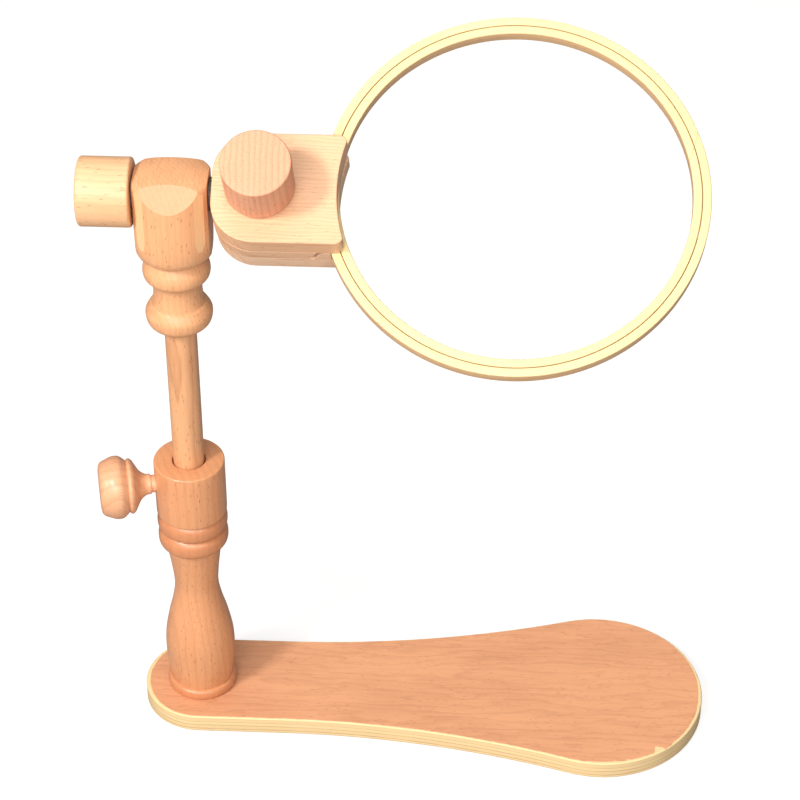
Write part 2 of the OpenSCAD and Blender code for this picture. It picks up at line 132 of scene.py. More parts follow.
def alone(piece, mode="OBJECT"):
    """Picks one piece and nothing else."""
    if bpy.context.object and bpy.context.object.mode != "OBJECT":
        bpy.ops.object.mode_set(mode="OBJECT")
    bpy.ops.object.select_all(action="DESELECT")
    piece.select_set(True)
    bpy.context.view_layer.objects.active = piece
    if mode == "EDIT":
        bpy.ops.object.mode_set(mode="EDIT")


def settle(piece, place=None):
    """Puts the piece in its place and leaves its object at the origin."""
    alone(piece)
    if place is not None:
        piece.matrix_world = place @ piece.matrix_world
        bpy.context.view_layer.update()
    bpy.ops.object.transform_apply(location=True, rotation=True, scale=True)
    return piece


def trace(name, points):
    """Draws one vertex out along a row of points, in millimetres."""
    line = [Vector(p) * mm for p in points]
    bpy.ops.object.select_all(action="DESELECT")
    bpy.ops.mesh.primitive_plane_add(size=mm, location=line[0])
    piece = bpy.context.object
    piece.name = piece.data.name = name
    bpy.ops.object.mode_set(mode="EDIT")
    bpy.ops.mesh.select_mode(type="VERT")
    bpy.ops.mesh.select_all(action="SELECT")
    bpy.ops.mesh.merge(type="CENTER")
    for last, here in zip(line, line[1:]):
        bpy.ops.mesh.extrude_vertices_move(TRANSFORM_OT_translate={"value": here - last})
    return piece


def board(name, outline, low, high):
    """Saws a flat board to a closed outline, between two heights in millimetres."""
    piece = trace(name, [(x, y, low) for x, y in outline])
    bpy.ops.mesh.select_all(action="SELECT")
    bpy.ops.mesh.edge_face_add()
    bpy.ops.mesh.extrude_region_move(TRANSFORM_OT_translate={"value": (0, 0, (high - low) * mm)})
    bpy.ops.mesh.select_all(action="SELECT")
    bpy.ops.mesh.normals_make_consistent(inside=False)
    bpy.ops.object.mode_set(mode="OBJECT")
    return settle(piece)


def ease(piece, width, sharp=40, where=None, segments=3):
    """Sands over the sharp edges whose middle passes the test."""
    alone(piece, "EDIT")
    bpy.ops.mesh.select_mode(type="EDGE")
    bpy.ops.mesh.select_all(action="DESELECT")
    bpy.ops.mesh.edges_select_sharp(sharpness=radians(sharp))
    shape = bmesh.from_edit_mesh(piece.data)
    for edge in shape.edges:
        if edge.select and where and not where((edge.verts[0].co + edge.verts[1].co) / 2 / mm):
            edge.select_set(False)
    bmesh.update_edit_mesh(piece.data)
    bpy.ops.mesh.bevel(offset=width * mm, segments=segments, profile=0.5, clamp_overlap=True,
                       affect="EDGES")
    bpy.ops.object.mode_set(mode="OBJECT")


def polish(piece, angle=38):
    """Smooth shading that keeps the flats flat."""
    alone(piece)
    bpy.ops.object.shade_smooth_by_angle(angle=radians(angle))
    even = piece.modifiers.new("even_shading", "WEIGHTED_NORMAL")
    even.keep_sharp = True
    bpy.ops.object.modifier_apply(modifier=even.name)
    return piece


def foot_outline(step):
    """The foot seen from above, with points about as far apart as step says."""
    r, e, n = foot_bow_r, foot_bow_end, round(straight / step)
    return (arc(post_x, 0, heel_r, 90, 270, step)
            + [(post_x + straight * i / n, -heel_r) for i in range(1, n)]
            + arc(bow_x, -heel_r - r, r, 90, e, step * 0.1)
            + arc(toe_x, 0, toe_r, e - 180, 180 - e, step * 0.6)
            + arc(bow_x, heel_r + r, r, -e, -90, step * 0.1)
            + [(bow_x - straight * i / n, heel_r) for i in range(1, n)])


def thinned(points, gap=0.05):
    """Drops points that fall on the one before."""
    kept = [points[0]]
    for p in points[1:]:
        if hypot(p[0] - kept[-1][0], p[1] - kept[-1][1]) > gap:
            kept.append(p)
    if hypot(kept[0][0] - kept[-1][0], kept[0][1] - kept[-1][1]) <= gap:
        kept.pop()
    return kept


foot_top = 12
foot_core = board("foot_core", thinned(foot_outline(3)), 0.8, foot_top - 0.15)
ease(foot_core, 0.95, where=lambda p: p.z > 11)
ease(foot_core, 0.35, where=lambda p: p.z < 1)
polish(foot_core)
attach(foot_core, "stand")
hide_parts("base_core")


def ragged(x, y, layer, fineness):
    """A smooth, uneven wave over the foot, between about -1 and 1."""
    return noise.noise(Vector((x, y, layer)) * fineness)


# The veneer's edge follows the foot a little inside it, and tears unevenly.
edge = thinned(foot_outline(1.6), 0.6)
torn = []
for i, (x, y) in enumerate(edge):
    ahead, behind = edge[(i + 1) % len(edge)], edge[i - 1]
    along = Vector((ahead[0] - behind[0], ahead[1] - behind[1])).normalized()
    about = degrees(atan2(y, x - toe_x))
    front = 1.0 if y < 0 and x > -100 else 0.25
    inset = 0.95 + 0.22 * ragged(x, y, 3, 0.16)
    inset += front * (0.34 * ragged(x, y, 0, 0.55) + 0.16 * ragged(x, y, 7, 1.9))
    if x < post_x:  # further in round the narrow end
        inset += 1.5 * cos(atan2(y, post_x - x)) ** 2
    if x > 60 and y < 0:  # worn along the front of the wide end
        worn = max(0.0, 1 - abs(about + 78) / 34)
        inset += worn * (0.9 + 0.9 * ragged(x, y, 5, 0.5))
    if x > 100:  # further in at the far right
        inset += 1.3 * max(0.0, 1 - abs(about + 5) / 50)
    if x > 100 and y < 0:  # one chip, and beside it a stretch left whole
        inset += 4.2 * max(0.0, 1 - abs(about + 55) / 3.6)
        if -51.4 < about < -46:
            inset = 0.5
    torn.append((x - along.y * inset, y + along.x * inset))
foot_veneer = board("foot_veneer", torn, 11.1, foot_top)
ease(foot_veneer, 0.12, where=lambda p: p.z > 11.9, segments=1)
polish(foot_veneer)
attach(foot_veneer, "stand")
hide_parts("base_top_veneer")


def add(tree, kind, inputs=None, **settings):
    """Adds one shader node. An input is a value, or the output that feeds it."""
    made = tree.nodes.new(kind)
    for key, value in settings.items():
        setattr(made, key, value)
    for key, value in (inputs or {}).items():
        if isinstance(value, bpy.types.NodeSocket):
            tree.links.new(value, made.inputs[key])
        else:
            made.inputs[key].default_value = value
    return made


def maths(tree, operation, a, b=0.0, c=0.0, clamp=False):
    """Arithmetic on up to three values."""
    made = add(tree, "ShaderNodeMath", {0: a, 1: b, 2: c}, operation=operation, use_clamp=clamp)
    return made.outputs[0]


def ramp(tree, factor, *stops):
    """A colour ramp through (place, value) or (place, colour) stops."""
    made = add(tree, "ShaderNodeValToRGB", {"Fac": factor})
    row = made.color_ramp.elements
    while len(row) < len(stops):
        row.new(0.5)
    for element, (place, value) in zip(row, stops):
        element.position = place
        element.color = tuple(value) + (1,) if isinstance(value, tuple) else (value, value, value, 1)
    return made.outputs["Color"]


def fade(tree, value, low, high, start=0.0, end=1.0):
    """Start below low, end above high, and even between the two."""
    return add(tree, "ShaderNodeMapRange", {0: value, 1: low, 2: high, 3: start, 4: end}).outputs[0]


def mix(tree, factor, a, b, blend="MIX"):
    """Two colours mixed. Each is a colour, or the output that gives it."""
    made = add(tree, "ShaderNodeMix", {0: factor}, data_type="RGBA", blend_type=blend)
    for index, value in ((6, a), (7, b)):
        if isinstance(value, bpy.types.NodeSocket):
            tree.links.new(value, made.inputs[index])
        else:
            made.inputs[index].default_value = tuple(value) + (1,)
    return made.outputs[2]


def stretch(tree, vector, by):
    """Coordinates multiplied along each axis."""
    return add(tree, "ShaderNodeVectorMath", {0: vector, 1: by}, operation="MULTIPLY").outputs[0]


def axes(tree, vector):
    """Coordinates taken apart, as outputs named X, Y and Z."""
    return add(tree, "ShaderNodeSeparateXYZ", {0: vector}).outputs


def cloud(tree, vector, by, detail, roughness=0.5):
    """Soft noise between 0 and 1, as fine along each axis as by says."""
    made = add(tree, "ShaderNodeTexNoise", {"Vector": stretch(tree, vector, by), "Scale": 1.0,
                                            "Detail": detail, "Roughness": roughness})
    return made.outputs["Fac"]


def effect(name, inputs, outputs):
    """An empty shader group with named inputs and outputs."""
    group = bpy.data.node_groups.new(name, "ShaderNodeTree")
    for label, kind, value in inputs:
        socket = group.interface.new_socket(name=label, in_out="INPUT", socket_type="NodeSocket" + kind)
        if value is not None:
            socket.default_value = value
    for label, kind in outputs:
        group.interface.new_socket(name=label, in_out="OUTPUT", socket_type="NodeSocket" + kind)
    return group, group.nodes.new("NodeGroupInput"), group.nodes.new("NodeGroupOutput")


# Beech, solid all through, with the grain along Z: growth lines across X that
# wander, fine fibres, short dark flecks, small pores and the lathe's marks.
beech_grain, given, put = effect("beech_grain", [
    ("Vector", "Vector", None), ("Pale", "Color", (0.8, 0.5, 0.3, 1)), ("Dark", "Color", (0.6, 0.3, 0.15, 1)),
    ("Line gap", "Float", 4.0), ("Wander", "Float", 2.5), ("Lines", "Float", 0.6), ("Fibre", "Float", 0.6),
    ("Flecks", "Float", 0.7), ("Patches", "Float", 0.5), ("Lathe", "Float", 0.0), ("Gloss", "Float", 0.38)],
    [("Color", "Color"), ("Roughness", "Float"), ("Height", "Float")])
g = beech_grain
in_mm = (1000, 1000, 1000)
spot = stretch(g, given.outputs["Vector"], in_mm)
drift = cloud(g, spot, (0.055, 0.055, 0.012), 2.0)
ripple = cloud(g, spot, (0.28, 0.28, 0.07), 3.0)
moved = maths(g, "MULTIPLY", maths(g, "SUBTRACT", drift, 0.5), given.outputs["Wander"])
moved = maths(g, "MULTIPLY_ADD", moved, 4.0, axes(g, spot)["X"])
moved = maths(g, "MULTIPLY_ADD", maths(g, "SUBTRACT", ripple, 0.5), given.outputs["Wander"], moved)
year = maths(g, "FRACT", maths(g, "DIVIDE", moved, given.outputs["Line gap"]))
growth = ramp(g, year, (0.0, 0.55), (0.12, 0.05), (0.55, 0.18), (0.86, 0.75), (0.95, 1.0))
fibres = cloud(g, spot, (1.5, 1.5, 0.05), 4.0, 0.62)
patch = cloud(g, spot, (0.05, 0.05, 0.016), 3.0)
ray = add(g, "ShaderNodeTexVoronoi", {"Vector": stretch(g, spot, (1.0, 1.0, 0.15)), "Scale": 1.0})
chance = add(g, "ShaderNodeSeparateColor", {0: ray.outputs["Color"]}).outputs["Red"]
fleck = fade(g, ray.outputs["Distance"], 0.10, 0.24, 1.0, 0.0)
fleck = maths(g, "MULTIPLY", fleck, maths(g, "GREATER_THAN", chance, 0.48))
pores = cloud(g, spot, (5.5, 5.5, 0.9), 2.0)
marks = cloud(g, spot, (0.0, 0.0, 1.7), 2.0)
tone = maths(g, "MULTIPLY", growth, given.outputs["Lines"])
for figure, share in ((fibres, "Fibre"), (patch, "Patches")):
    figure = maths(g, "SUBTRACT", figure, 0.42)
    tone = maths(g, "ADD", tone, maths(g, "MULTIPLY", figure, given.outputs[share]))
tone = maths(g, "MULTIPLY_ADD", maths(g, "SUBTRACT", pores, 0.5), 0.35, tone, clamp=True)
wood = mix(g, tone, given.outputs["Pale"], given.outputs["Dark"])
deep = mix(g, 1.0, given.outputs["Dark"], (0.62, 0.46, 0.36), "MULTIPLY")
wood = mix(g, maths(g, "MULTIPLY", fleck, given.outputs["Flecks"]), wood, deep)
g.links.new(wood, put.inputs["Color"])
shine = maths(g, "MULTIPLY_ADD", fibres, 0.16, maths(g, "SUBTRACT", given.outputs["Gloss"], 0.08))
g.links.new(maths(g, "MULTIPLY_ADD", fleck, 0.12, shine), put.inputs["Roughness"])
relief = maths(g, "MULTIPLY_ADD", fleck, -0.5, maths(g, "MULTIPLY", fibres, 0.35))
relief = maths(g, "MULTIPLY_ADD", pores, 0.3, relief)
relief = maths(g, "MULTIPLY_ADD", marks, given.outputs["Lathe"], relief)
g.links.new(relief, put.inputs["Height"])


def finish(name, relief_mm=0.05, coat=0.0, strength=0.5):
    """Starts a finish, and gives it with its tree, shader, bump and object coordinates."""
    made = bpy.data.materials.new(name)
    made.use_nodes = True
    tree = made.node_tree
    shader = tree.nodes["Principled BSDF"]
    shader.inputs["Coat Weight"].default_value = coat
    shader.inputs["Coat Roughness"].default_value = 0.18
    bump = add(tree, "ShaderNodeBump", {"Strength": strength, "Distance": relief_mm * mm})
    tree.links.new(bump.outputs[0], shader.inputs["Normal"])
    return made, tree, shader, bump, add(tree, "ShaderNodeTexCoord").outputs["Object"]


def use(tree, group, **values):
    """Adds a shader group. A gap in an input's name is written as an underscore."""
    made = tree.nodes.new("ShaderNodeGroup")
    made.node_tree = group
    for key, value in values.items():
        key = key.replace("_", " ")
        if isinstance(value, bpy.types.NodeSocket):
            tree.links.new(value, made.inputs[key])
        else:
            made.inputs[key].default_value = tuple(value) + (1,) if isinstance(value, tuple) else value
    return made


def beech(name, pale, dark, centre=(0, 0, 0), turn=None, relief_mm=0.05, coat=0.0, **values):
    """A beech finish. Its grain runs along the Z of the tree it came from, which stands at centre (in
    millimetres) and is turned by turn."""
    made, tree, shader, bump, coords = finish(name, relief_mm, coat)
    trunk = add(tree, "ShaderNodeMapping", {"Vector": coords, "Location": Vector(centre) * mm},
                vector_type="TEXTURE")
    trunk.inputs["Rotation"].default_value = (turn or Matrix.Identity(3)).to_euler()
    grain = use(tree, beech_grain, Vector=trunk.outputs[0], Pale=pale, Dark=dark, **values)
    tree.links.new(grain.outputs["Color"], shader.inputs["Base Color"])
    tree.links.new(grain.outputs["Roughness"], shader.inputs["Roughness"])
    tree.links.new(grain.outputs["Height"], bump.inputs["Height"])
    return made


def dress(piece, *finishes):
    """Gives a piece its finishes, in the order of its material slots."""
    piece.data.materials.clear()
    for made in finishes:
        piece.data.materials.append(made)


# Rotary-cut face veneer: broad lazy figure along the foot.
lengthwise = Matrix.Rotation(radians(90), 3, "Y") @ Matrix.Rotation(radians(78), 3, "Z")
face_veneer = beech("face_veneer", (0.74, 0.352, 0.180), (0.47, 0.185, 0.090), (40, 400, -60), lengthwise,
                    0.03, Line_gap=7.0, Wander=9.0, Lines=0.24, Fibre=0.75, Flecks=0.45, Patches=0.8,
                    Gloss=0.5)
dress(foot_veneer, face_veneer)
dress(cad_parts["base_bottom_veneer"], face_veneer)

# The plywood edge: pale plies with every second one in end grain, and thin
# brown glue lines between them that break up here and there.
ply_edge, tree, shader, bump, coords = finish("ply_edge", 0.12, strength=0.6)
waver = maths(tree, "SUBTRACT", cloud(tree, coords, (30, 30, 60), 3.0), 0.5)
level = maths(tree, "MULTIPLY_ADD", waver, 0.55, axes(tree, stretch(tree, coords, in_mm))["Z"])
level = maths(tree, "DIVIDE", level, foot_top)
glue = ramp(tree, level, (0.085, 0.0), (0.10, 0.7), (0.118, 0.0), (0.20, 0.0), (0.222, 1.0), (0.25, 0.15),
            (0.262, 0.0), (0.455, 0.0), (0.475, 1.0), (0.498, 0.0), (0.67, 0.0), (0.685, 0.8), (0.70, 0.0),
            (0.885, 0.0), (0.90, 0.55), (0.918, 0.0))
ply = ramp(tree, level, (0.0, 0.25), (0.10, 0.25), (0.11, 0.05), (0.22, 0.05), (0.235, 0.75), (0.47, 0.55),
           (0.485, 0.0), (0.68, 0.0), (0.69, 0.55), (0.90, 0.4), (0.91, 0.0))
ends = cloud(tree, coords, (900, 900, 700), 3.0)
streaks = cloud(tree, coords, (60, 60, 2600), 3.0)
broken = cloud(tree, coords, (45, 45, 45), 2.0)
speck = maths(tree, "MULTIPLY", ply, maths(tree, "MULTIPLY_ADD", ends, 0.55, 0.05))
streaky = maths(tree, "MULTIPLY", maths(tree, "SUBTRACT", streaks, 0.45), 0.4)
speck = maths(tree, "ADD", speck, streaky, clamp=True)
sawn = mix(tree, speck, (0.82, 0.60, 0.31), (0.62, 0.38, 0.18))
line = maths(tree, "MULTIPLY", glue, ramp(tree, broken, (0.36, 0.6), (0.5, 1.0)))
sawn = mix(tree, maths(tree, "MULTIPLY", line, 0.9), sawn, (0.30, 0.14, 0.06))
tree.links.new(sawn, shader.inputs["Base Color"])
tree.links.new(maths(tree, "MULTIPLY_ADD", ends, 0.2, 0.55), shader.inputs["Roughness"])
relief = maths(tree, "MULTIPLY_ADD", line, -0.8, maths(tree, "ADD", ends, streaks))
tree.links.new(relief, bump.inputs["Height"])
dress(foot_core, ply_edge)

# ---------------------------------------------------------------- screw under the foot
# A countersunk steel wood screw holds the post from below. Only its head, with
# a cross cut in it, shows under the foot.
worn_metal, given, put = effect("worn_metal", [
    ("Vector", "Vector", None), ("Bright", "Color", (0.7, 0.7, 0.7, 1)),
    ("Dull", "Color", (0.4, 0.4, 0.4, 1)), ("Gloss", "Float", 0.3)],
    [("Color", "Color"), ("Roughness", "Float"), ("Height", "Float")])
g = worn_metal
spot = stretch(g, given.outputs["Vector"], in_mm)
stain = cloud(g, spot, (0.35, 0.35, 0.35), 4.0)
scratch = cloud(g, spot, (6, 1.1, 6), 3.0)
pit = add(g, "ShaderNodeTexVoronoi", {"Vector": stretch(g, spot, (1.6, 1.6, 1.6)), "Scale": 1.0})
pitted = fade(g, pit.outputs["Distance"], 0.05, 0.16, 1.0, 0.0)
worn = maths(g, "MULTIPLY_ADD", stain, 1.3, -0.3)
worn = maths(g, "MULTIPLY_ADD", scratch, 0.4, worn, clamp=True)
metal = mix(g, worn, given.outputs["Bright"], given.outputs["Dull"])
g.links.new(mix(g, maths(g, "MULTIPLY", pitted, 0.35), metal, (0.2, 0.18, 0.16)), put.inputs["Color"])
rough = maths(g, "MULTIPLY_ADD", worn, 0.2, given.outputs["Gloss"])
g.links.new(maths(g, "MULTIPLY_ADD", scratch, 0.12, rough), put.inputs["Roughness"])
g.links.new(maths(g, "MULTIPLY_ADD", pitted, -0.6, scratch), put.inputs["Height"])


def metal_finish(name, bright, dull, gloss):
    """Bare or plated metal that has been handled."""
    made, tree, shader, bump, coords = finish(name, 0.02)
    worn = use(tree, worn_metal, Vector=coords, Bright=bright, Dull=dull, Gloss=gloss)
    tree.links.new(worn.outputs["Color"], shader.inputs["Base Color"])
    tree.links.new(worn.outputs["Roughness"], shader.inputs["Roughness"])
    tree.links.new(worn.outputs["Height"], bump.inputs["Height"])
    shader.inputs["Metallic"].default_value = 1
    return made


zinc = metal_finish("zinc_plated_steel", (0.62, 0.62, 0.64), (0.40, 0.40, 0.41), 0.24)
dress(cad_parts["base_screw"], zinc)

# ---------------------------------------------------------------- post
# One piece of beech turned on a lathe: a foot ring, a belly, a slim neck, two
# beads and a plain socket. It is bored from the top for the rod and from the
# side for the post screw, then given a thin satin lacquer.


def smooth_line(points, steps=6):
    """A smooth curve through a row of points."""
    line = []
    for i in range(len(points) - 1):
        a, b = points[max(i - 1, 0)], points[i]
        c, d = points[i + 1], points[min(i + 2, len(points) - 1)]
        for j in range(steps):
            t = j / steps
            line.append(tuple(0.5 * (2 * q + (r - p) * t + (2 * p - 5 * q + 4 * r - s) * t * t
                                     + (3 * q - p - 3 * r + s) * t ** 3) for p, q, r, s in zip(a, b, c, d)))
    return line + [tuple(points[-1])]


def turned(name, line, steps=112, place=None):
    """Spins a half profile of (radius, height), in millimetres, into a round piece."""
    piece = trace(name, [(r, 0, z) for r, z in line])
    bpy.ops.mesh.select_all(action="SELECT")
    bpy.ops.mesh.spin(steps=steps, angle=2 * pi, center=(0, 0, 0), axis=(0, 0, 1))
    bpy.ops.mesh.select_all(action="SELECT")
    bpy.ops.mesh.remove_doubles(threshold=2e-6)
    bpy.ops.mesh.normals_make_consistent(inside=False)
    bpy.ops.object.mode_set(mode="OBJECT")
    settle(piece, place)
    bpy.ops.object.shade_smooth_by_angle(angle=radians(38))
    return piece


def cut(piece, tool, how="DIFFERENCE"):
    """Cuts a tool's shape out of a piece, or joins the two, and puts the tool away."""
    work = piece.modifiers.new("cut", "BOOLEAN")
    work.object, work.operation, work.solver = tool, how, "EXACT"
    alone(piece)
    bpy.ops.object.modifier_apply(modifier=work.name)
    bpy.data.objects.remove(tool, do_unlink=True)


def bore(piece, radius, low, high, place):
    """Drills a round hole through a piece, along the Z of place."""
    bpy.ops.object.select_all(action="DESELECT")
    bpy.ops.mesh.primitive_cylinder_add(vertices=64, radius=radius * mm, depth=(high - low) * mm,
                                        location=(0, 0, (low + high) / 2 * mm))
    drill = settle(bpy.context.object, place)
    cut(piece, drill)


def bead(low, radius, tall=11.6, deep=2.5):
    """The line of one rounded bead, between two grooves."""
    return smooth_line([(radius - deep * x, low + tall * y) for x, y in (
        (1, 0), (0.6, 0.07), (0.13, 0.22), (0, 0.48), (0.13, 0.74), (0.6, 0.92), (1, 1))], 5)


post_place = at(post_x, 0, 0)
socket_r, post_top, screw_z = 20.1, 182, 166.8
vase_low, vase_tall, neck_r, vase_swell = 18.5, 103.9, 12.8, 7.5
vase = [(0, 0.70), (0.10, 0.91), (0.22, 1), (0.33, 0.93), (0.46, 0.61), (0.56, 0.27), (0.66, 0.02),
        (0.74, 0.01), (0.87, 0.19), (1, 0.45)]
post_line = [(0, 43.5), (2.1, 43.5), (2.1, foot_top), (19.1, foot_top)]
post_line += smooth_line([(19.5, 12), (20.2, 12.9), (20.5, 15.2), (20.1, 17.4), (19.1, 18.35)], 4)
post_line += smooth_line([(neck_r + k * vase_swell, vase_low + t * vase_tall) for t, k in vase], 8)
post_line += bead(122.4, socket_r) + bead(134.0, socket_r)
post_line += smooth_line([(19.3, 145.9), (19.9, 146.4), (socket_r, 147.6)], 3)
post_line += [(socket_r, 160), (socket_r, 174)]
post_line += arc(socket_r - 1, post_top - 1, 1.0, 0, 90, 22) + arc(10.1, post_top - 0.6, 0.6, 90, 180, 30)
post_line += [(9.5, 150), (9.5, 97), (0, 97)]
post = turned("post_turning", thinned(post_line, 0.02), place=post_place)
screw_place = (at(post_x, 0, screw_z) @ Matrix.Rotation(radians(192), 4, "Z")
               @ Matrix.Rotation(radians(90), 4, "Y"))
bore(post, 5.3, 0, 26, screw_place)
alone(post)
bpy.ops.object.shade_smooth_by_angle(angle=radians(38))
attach(post, "stand")
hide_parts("post")
post_beech = beech("post_beech", (0.73, 0.33, 0.152), (0.46, 0.165, 0.070), (-133, 0, 60),
                   Matrix.Rotation(radians(25), 3, "Z"), 0.05, 0.22, Line_gap=4.2, Wander=1.6, Lines=0.22,
                   Fibre=0.7, Flecks=0.75, Patches=0.35, Lathe=0.5, Gloss=0.40)
# The foot ring and the two beads are darker and redder.
tree = post_beech.node_tree
shader = tree.nodes["Principled BSDF"]
grain = shader.inputs["Base Color"].links[0].from_socket
high = axes(tree, tree.nodes["Texture Coordinate"].outputs["Object"])["Z"]
high = maths(tree, "DIVIDE", maths(tree, "MULTIPLY", high, 1000.0), 200.0)
rings = ramp(tree, high, (0.0, 1.0), (0.088, 1.0), (0.096, 0.0), (0.600, 0.0), (0.618, 1.0), (0.722, 1.0),
             (0.732, 0.0))
redder = mix(tree, maths(tree, "MULTIPLY", rings, 0.5), grain, (0.50, 0.165, 0.065))
tree.links.new(redder, shader.inputs["Base Color"])
dress(post, post_beech)

# ---------------------------------------------------------------- post screw
# A turned beech thumb screw with a ring and a bulb. Its plain shank runs
# through the side of the socket and presses on the rod.
tip, neck = 51.45, 22.3
screw_line = [(0, 9.05), (4.5, 9.05), (5, 9.55), (5, neck), (5.6, neck)]
screw_line += smooth_line([(5.9, neck + 0.5), (6.1, neck + 3), (8.3, neck + 6), (11.9, neck + 8.2),
                           (14.4, neck + 9.6)], 6)
screw_line += smooth_line([(15.1, neck + 10.3), (15.75, neck + 11.4), (15.5, neck + 12.6),
                           (14.6, neck + 13.2)], 5)
screw_line += smooth_line([(15.5, neck + 14), (17.5, neck + 16.6), (18, neck + 19), (17.7, neck + 21.5),
                           (16.7, tip - 5), (15.3, tip - 1.9), (13.7, tip - 0.5)], 6)
screw_line += [(10.8, tip), (0, tip)]
post_screw = turned("post_screw_turning", screw_line, 96, screw_place)
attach(post_screw, "post_screw")
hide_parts("post_screw")
screw_grain = screw_place.to_3x3() @ Matrix.Rotation(radians(70), 3, "Z")
screw_beech = beech("screw_beech", (0.78, 0.395, 0.215), (0.53, 0.215, 0.10), (post_x, 0, screw_z),
                    screw_grain, 0.05, 0.15, Line_gap=4.8, Wander=1.6, Lines=0.3, Fibre=0.6, Flecks=0.6,
                    Patches=0.3, Lathe=0.5, Gloss=0.44)
dress(post_screw, screw_beech)

# ---------------------------------------------------------------- rod
# A plain beech dowel with a small chamfer at each end. It slides in the post
# and is a push fit in the head.
rod_r, rod_low, rod_top = 8.75, 129, 320.5
rod_line = [(0, rod_low), (rod_r - 1, rod_low), (rod_r, rod_low + 1), (rod_r, 200), (rod_r, 260),
            (rod_r, rod_top - 1), (rod_r - 1, rod_top), (0, rod_top)]
rod = turned("rod_dowel", rod_line, 96, post_place)
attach(rod, "rod")
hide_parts("rod")
rod_beech = beech("rod_beech", (0.76, 0.39, 0.192), (0.50, 0.215, 0.093), (post_x, 3, 40),
                  Matrix.Rotation(radians(60), 3, "Z"), 0.04, 0.12, Line_gap=5.5, Wander=2.2, Lines=0.5,
                  Fibre=0.75, Flecks=0.8, Patches=0.7, Gloss=0.42)
dress(rod, rod_beech)

# ---------------------------------------------------------------- head
# The head is turned with its beaded neck from a square of beech, then sawn to
# flat sides and corners and sanded, so that the turned curve under the block
# and the dome run out into the flats. It is bored for the rod and the bolt.
swell, waist, block_r = 18.2, 13.2, 22.3  # radii of the beads, of the cove between them, and of the block
below = 49.5  # height of everything under the block
head_line = [(0, 46), (8.8, 46), (8.8, 20), (8.8, 0.6), (9.4, 0), (10.75, 0)]
head_line += smooth_line([(11.55, 0.3), (swell * 0.80, 2.4), (swell * 0.95, 5.4), (swell, below * 0.20),
                          (swell * 0.97, below * 0.255), (swell * 0.85, below * 0.33)], 6)
head_line += smooth_line([(swell * 0.79, below * 0.345), (waist + 0.4, below * 0.41), (waist, below * 0.5),
                          (waist + 0.3, below * 0.58), (waist + 1.6, below * 0.655)], 6)
head_line += smooth_line([(swell * 0.88, below * 0.665), (swell * 0.97, below * 0.705),
                          (swell, below * 0.77), (swell * 0.975, below * 0.83), (swell * 0.90, below * 0.89),
                          (15.4, below * 0.93)], 6)
head_line += [(15.4, below), (19.3, below)]
head_line += smooth_line([(20.0, 50.1), (21.2, 52.9), (22.0, 58), (block_r, 64.5)], 6)
head_line += [(block_r, 75), (block_r, 85)]
head_line += smooth_line([(block_r, 93.5), (21.9, 95.5), (20.5, 96.92), (14.7, 98.79), (7.4, 99.73),
                          (0, 100)], 8)
head_z, block_z = 275.5, 325
head = turned("head_turning", thinned(head_line, 0.02), 128, at(post_x, 0, head_z))
# How far from the middle of the block's foot each flat is sawn. Two faces lean by 35 degrees.
side_out, lean_out, corner_out = 19.6, 39.2, 22.083
lean_y, lean_z = 0.8192, 0.5736
flats = [((side, 0, 0), side_out) for side in (1, -1)]
flats += [((0, side * lean_y, lean_z), lean_out) for side in (-1, 1)]
flats += [((x, y, 0), corner_out) for x in (0.7071, -0.7071) for y in (0.7071, -0.7071)]
block_middle = at(post_x, 0, block_z).translation
alone(head, "EDIT")
for facing, out in flats:
    facing = Vector(facing).normalized()
    bpy.ops.mesh.select_all(action="SELECT")
    bpy.ops.mesh.bisect(plane_co=block_middle + facing * out * mm, plane_no=facing, use_fill=True,
                        clear_inner=False, clear_outer=True, threshold=1e-6)
    bpy.ops.mesh.region_to_loop()
    bpy.ops.mesh.mark_sharp()
bpy.ops.mesh.select_all(action="SELECT")
bpy.ops.mesh.remove_doubles(threshold=8e-5)
bpy.ops.object.mode_set(mode="OBJECT")
tilt_z = 360.8
tilt_place = at(post_x, 0, tilt_z) @ Matrix.Rotation(radians(33), 4, "X")
along_bolt = tilt_place @ Matrix.Rotation(radians(90), 4, "Y")
bore(head, 3.3, -26, 26, along_bolt)


def block_edge(p):
    """True for a point on the block's outside edges, away from its bores."""
    return p.z > block_z + 2 and hypot(p.x - post_x, p.y) > 12 and hypot(p.y, p.z - tilt_z) > 5


ease(head, 0.5, 24, where=block_edge)
polish(head, 32)
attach(head, "head")
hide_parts("head_block")
head_beech = beech("head_beech", (0.77, 0.39, 0.192), (0.50, 0.205, 0.085), (post_x, 0, 300),
                   Matrix.Rotation(radians(38), 3, "Z"), 0.05, 0.08, Line_gap=2.6, Wander=1.1, Lines=0.2,
                   Fibre=0.65, Flecks=0.9, Patches=0.4, Lathe=0.25, Gloss=0.42)
# The corner flats carry a painted highlight, a paler wood colour, the leaning faces are darker,
# and the saw has left slanting marks on the dome.
tree = head_beech.node_tree
shader = tree.nodes["Principled BSDF"]
shader.inputs["Specular IOR Level"].default_value = 0.35
grain = shader.inputs["Base Color"].links[0].from_socket
own = add(tree, "ShaderNodeMapping", {"Vector": tree.nodes["Texture Coordinate"].outputs["Object"],
                                      "Location": (post_x * mm, 0, 0)}, vector_type="TEXTURE")
own = stretch(tree, own.outputs[0], in_mm)
away = axes(tree, add(tree, "ShaderNodeVectorMath", {0: own}, operation="ABSOLUTE").outputs[0])
corner = maths(tree, "MULTIPLY", maths(tree, "ADD", away["X"], away["Y"]), 0.7071)
# Painted highlight: the corner flats are made paler to stand in for the light they catch.
corner_highlight = fade(tree, corner, corner_out - 0.043, corner_out - 0.013)
corner_highlight = maths(tree, "MULTIPLY", corner_highlight, maths(tree, "GREATER_THAN", away["Z"], block_z - 1))
slant = add(tree, "ShaderNodeMapping", {"Vector": own, "Rotation": (0, 0, radians(-32)),
                                        "Scale": (1.5, 0.10, 0.4)}).outputs[0]
